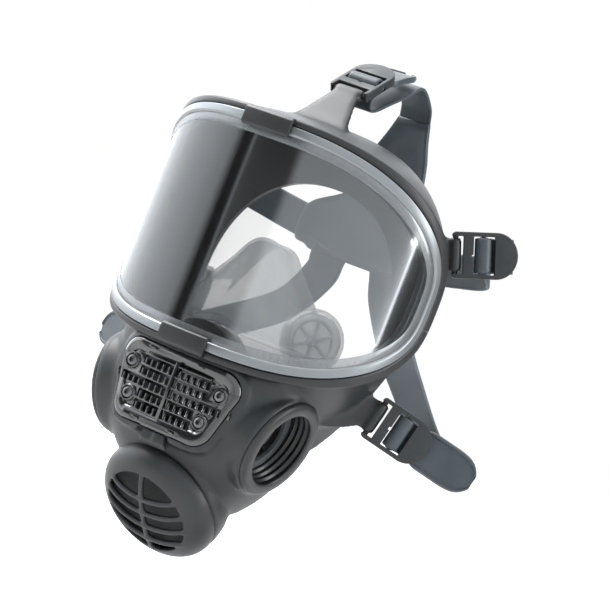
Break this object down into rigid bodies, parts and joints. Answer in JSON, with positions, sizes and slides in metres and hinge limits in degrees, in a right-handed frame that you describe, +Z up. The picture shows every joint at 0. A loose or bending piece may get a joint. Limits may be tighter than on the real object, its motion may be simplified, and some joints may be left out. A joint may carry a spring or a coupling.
{
  "type": "full face respirator",
  "caption": "Full face respirator with a wide bent visor, speech cover, twin threaded filter ports, exhalation valve, inner nose and mouth mask and a buckled rubber head harness.",
  "frame": {"origin": "on the mask's mid plane at the face opening, level with the visor's middle and 80 mm behind the visor's front", "axes": "+X is the wearer's left, +Y points back towards the head, +Z is up"},
  "size_m": [0.2506, 0.1483, 0.2829],
  "materials": {
    "visor_lens": "clear moulded plastic sheet, glossy",
    "visor_frame_upper": "dark grey, satin",
    "visor_frame_lower": "dark grey, satin",
    "frame_screw_left": "plain, lightly brushed",
    "frame_screw_right": "plain, lightly brushed",
    "frame_nut_left": "plain, lightly brushed",
    "frame_nut_right": "plain, lightly brushed",
    "facepiece": "matte, fine grain",
    "speech_cover": "glossy black",
    "cover_screw_1": "plain, lightly brushed",
    "cover_screw_2": "plain, lightly brushed",
    "cover_screw_3": "plain, lightly brushed",
    "cover_screw_4": "plain, lightly brushed",
    "front_housing": "moulded, satin",
    "speech_gasket": "soft, matte",
    "speech_diaphragm": "thin foil, plain",
    "diaphragm_ring": "moulded, satin",
    "exhalation_seat": "moulded, satin",
    "port_ring_left": "moulded, satin",
    "port_ring_right": "moulded, satin",
    "port_gasket_left": "soft, matte",
    "port_gasket_right": "soft, matte",
    "inhalation_seat_left": "moulded, satin",
    "inhalation_seat_right": "moulded, satin",
    "inner_mask": "translucent, milky",
    "inner_valve_seat_left": "translucent white",
    "inner_valve_seat_right": "translucent white",
    "head_harness": "smooth, blue-grey",
    "exhalation_disc": "soft, matte",
    "exhalation_cover": "matte, fine grain",
    "cover_latch": "matte, fine grain",
    "inhalation_disc_left": "soft, matte",
    "inner_valve_flap_left": "thin, milky",
    "inhalation_disc_right": "soft, matte",
    "inner_valve_flap_right": "thin, milky",
    "buckle_top": "moulded, satin",
    "roller_top": "blue-grey, smooth",
    "buckle_temple_left": "moulded, satin",
    "roller_temple_left": "blue-grey, smooth",
    "buckle_lower_left": "moulded, satin",
    "roller_lower_left": "blue-grey, smooth",
    "buckle_temple_right": "moulded, satin",
    "roller_temple_right": "blue-grey, smooth",
    "buckle_lower_right": "moulded, satin",
    "roller_lower_right": "blue-grey, smooth"
  },
  "bodies": {
    "mask": {"visor_lens": "visor_lens", "visor_frame_upper": "visor_frame_upper", "visor_frame_lower": "visor_frame_lower", "frame_screw_left": "frame_screw_left", "frame_screw_right": "frame_screw_right", "frame_nut_left": "frame_nut_left", "frame_nut_right": "frame_nut_right", "facepiece": "facepiece", "speech_cover": "speech_cover", "cover_screw_1": "cover_screw_1", "cover_screw_2": "cover_screw_2", "cover_screw_3": "cover_screw_3", "cover_screw_4": "cover_screw_4", "front_housing": "front_housing", "speech_gasket": "speech_gasket", "speech_diaphragm": "speech_diaphragm", "diaphragm_ring": "diaphragm_ring", "exhalation_seat": "exhalation_seat", "port_ring_left": "port_ring_left", "port_ring_right": "port_ring_right", "port_gasket_left": "port_gasket_left", "port_gasket_right": "port_gasket_right", "inhalation_seat_left": "inhalation_seat_left", "inhalation_seat_right": "inhalation_seat_right", "inner_mask": "inner_mask", "inner_valve_seat_left": "inner_valve_seat_left", "inner_valve_seat_right": "inner_valve_seat_right", "head_harness": "head_harness"},
    "exhalation_disc": {"exhalation_disc": "exhalation_disc"},
    "exhalation_cover": {"exhalation_cover": "exhalation_cover"},
    "cover_latch": {"cover_latch": "cover_latch"},
    "inhalation_disc_left": {"inhalation_disc_left": "inhalation_disc_left"},
    "inner_valve_flap_left": {"inner_valve_flap_left": "inner_valve_flap_left"},
    "inhalation_disc_right": {"inhalation_disc_right": "inhalation_disc_right"},
    "inner_valve_flap_right": {"inner_valve_flap_right": "inner_valve_flap_right"},
    "buckle_top": {"buckle_top": "buckle_top"},
    "roller_top": {"roller_top": "roller_top"},
    "buckle_temple_left": {"buckle_temple_left": "buckle_temple_left"},
    "roller_temple_left": {"roller_temple_left": "roller_temple_left"},
    "buckle_lower_left": {"buckle_lower_left": "buckle_lower_left"},
    "roller_lower_left": {"roller_lower_left": "roller_lower_left"},
    "buckle_temple_right": {"buckle_temple_right": "buckle_temple_right"},
    "roller_temple_right": {"roller_temple_right": "roller_temple_right"},
    "buckle_lower_right": {"buckle_lower_right": "buckle_lower_right"},
    "roller_lower_right": {"roller_lower_right": "roller_lower_right"}
  },
  "joints": [
    {"name": "exhalation_valve_lift", "type": "slide", "parent": "mask", "child": "exhalation_disc", "axis": [0, -0.7071, -0.7071], "range_m": [0, 0.0015], "stiffness_N_per_m": 150, "springref_m": -0.0005},
    {"name": "exhalation_cover_off", "type": "slide", "parent": "mask", "child": "exhalation_cover", "axis": [0, -0.7071, -0.7071], "range_m": [0, 0.02]},
    {"name": "cover_latch_lift", "type": "hinge", "parent": "mask", "child": "cover_latch", "pos_m": [0, -0.0743, -0.1072], "axis": [-1, 0, 0], "range_deg": [0, 25], "stiffness_Nm_per_rad": 0.02, "springref_deg": -2.86},
    {"name": "inhalation_valve_left", "type": "slide", "parent": "mask", "child": "inhalation_disc_left", "axis": [-0.9744, 0, 0.225], "range_m": [0, 0.002], "stiffness_N_per_m": 150, "springref_m": -0.0005},
    {"name": "inner_valve_left", "type": "slide", "parent": "mask", "child": "inner_valve_flap_left", "axis": [-0.766, 0.6428, 0], "range_m": [0, 0.0018], "stiffness_N_per_m": 150, "springref_m": -0.0005},
    {"name": "inhalation_valve_right", "type": "slide", "parent": "mask", "child": "inhalation_disc_right", "axis": [0.9744, 0, 0.225], "range_m": [0, 0.002], "stiffness_N_per_m": 150, "springref_m": -0.0005},
    {"name": "inner_valve_right", "type": "slide", "parent": "mask", "child": "inner_valve_flap_right", "axis": [0.766, 0.6428, 0], "range_m": [0, 0.0018], "stiffness_N_per_m": 150, "springref_m": -0.0005},
    {"name": "buckle_pivot_top", "type": "hinge", "parent": "mask", "child": "buckle_top", "pos_m": [0, -0.019, 0.092], "axis": [1, 0, 0], "range_deg": [-20, 20], "deforming": ["head_harness"]},
    {"name": "roller_spin_top", "type": "hinge", "parent": "buckle_top", "child": "roller_top", "pos_m": [0, -0.00756, 0.10058], "axis": [-1, 0, 0], "continuous": true},
    {"name": "buckle_pivot_temple_left", "type": "hinge", "parent": "mask", "child": "buckle_temple_left", "pos_m": [0.083, -0.001, 0.032], "axis": [0.2855, 0.1648, -0.9441], "range_deg": [-20, 20], "deforming": ["head_harness"]},
    {"name": "roller_spin_temple_left", "type": "hinge", "parent": "buckle_temple_left", "child": "roller_temple_left", "pos_m": [0.09471, 0.00571, 0.03671], "axis": [-0.2855, -0.1648, 0.9441], "continuous": true},
    {"name": "buckle_pivot_lower_left", "type": "hinge", "parent": "mask", "child": "buckle_lower_left", "pos_m": [0.074, 0, -0.0605], "axis": [-0.1911, -0.1103, -0.9754], "range_deg": [-20, 20], "deforming": ["head_harness"]},
    {"name": "roller_spin_lower_left", "type": "hinge", "parent": "buckle_lower_left", "child": "roller_lower_left", "pos_m": [0.08605, 0.00703, -0.06366], "axis": [0.1911, 0.1103, 0.9754], "continuous": true},
    {"name": "buckle_pivot_temple_right", "type": "hinge", "parent": "mask", "child": "buckle_temple_right", "pos_m": [-0.083, -0.001, 0.032], "axis": [0.2855, -0.1648, 0.9441], "range_deg": [-20, 20], "deforming": ["head_harness"]},
    {"name": "roller_spin_temple_right", "type": "hinge", "parent": "buckle_temple_right", "child": "roller_temple_right", "pos_m": [-0.09471, 0.00571, 0.03671], "axis": [-0.2855, 0.1648, -0.9441], "continuous": true},
    {"name": "buckle_pivot_lower_right", "type": "hinge", "parent": "mask", "child": "buckle_lower_right", "pos_m": [-0.074, 0, -0.0605], "axis": [-0.1911, 0.1103, 0.9754], "range_deg": [-20, 20], "deforming": ["head_harness"]},
    {"name": "roller_spin_lower_right", "type": "hinge", "parent": "buckle_lower_right", "child": "roller_lower_right", "pos_m": [-0.08605, 0.00703, -0.06366], "axis": [0.1911, -0.1103, -0.9754], "continuous": true}
  ]
}
